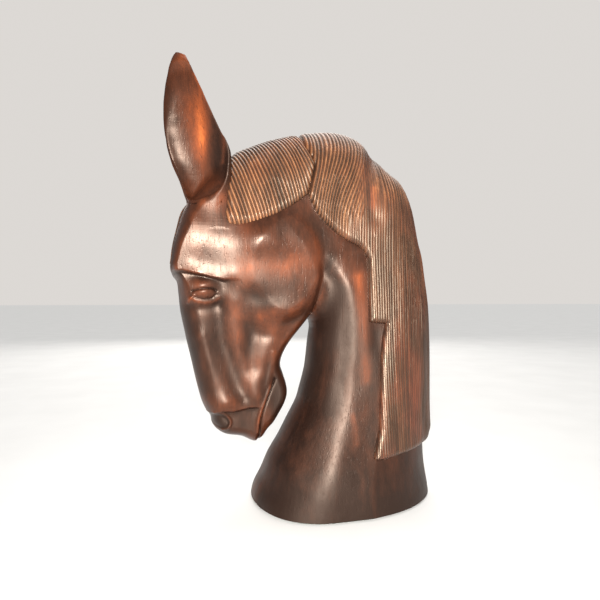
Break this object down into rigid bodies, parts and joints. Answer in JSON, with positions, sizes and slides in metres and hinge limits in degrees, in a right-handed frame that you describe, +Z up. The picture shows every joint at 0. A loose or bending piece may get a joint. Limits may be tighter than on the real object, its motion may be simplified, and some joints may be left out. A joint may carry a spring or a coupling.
{
  "type": "giant chess knight",
  "caption": "Large carved hardwood chess knight: a bowed horse head and arched neck with upright ears and a grooved mane.",
  "frame": {"origin": "centre of the underside of the base, on the middle plane of the horse", "axes": "-X towards the horse's face, -Y towards its left side, +Z up"},
  "size_m": [0.2925, 0.1521, 0.449],
  "materials": {
    "stained_wood": "dark red-brown stain under worn satin varnish",
    "mane_wood": "grooved, stained dark with rubbed golden ridges, satin varnish",
    "dowel_wood": "plain unstained hardwood dowel",
    "felt": "dark green wool felt"
  },
  "bodies": {
    "root": {"base_felt": "felt", "forelock": "mane_wood", "head_board_dowels": "dowel_wood", "head_centre_board": "stained_wood", "head_left_board": "stained_wood", "head_right_board": "stained_wood", "head_to_neck_dowels": "dowel_wood", "left_crest_lock": "mane_wood", "left_ear": "stained_wood", "left_ear_dowel": "dowel_wood", "left_mane": "mane_wood", "neck_board_dowels": "dowel_wood", "neck_centre_board": "stained_wood", "neck_left_board": "stained_wood", "neck_right_board": "stained_wood", "right_crest_lock": "mane_wood", "right_ear": "stained_wood", "right_ear_dowel": "dowel_wood", "right_mane": "mane_wood"}
  },
  "joints": []
}
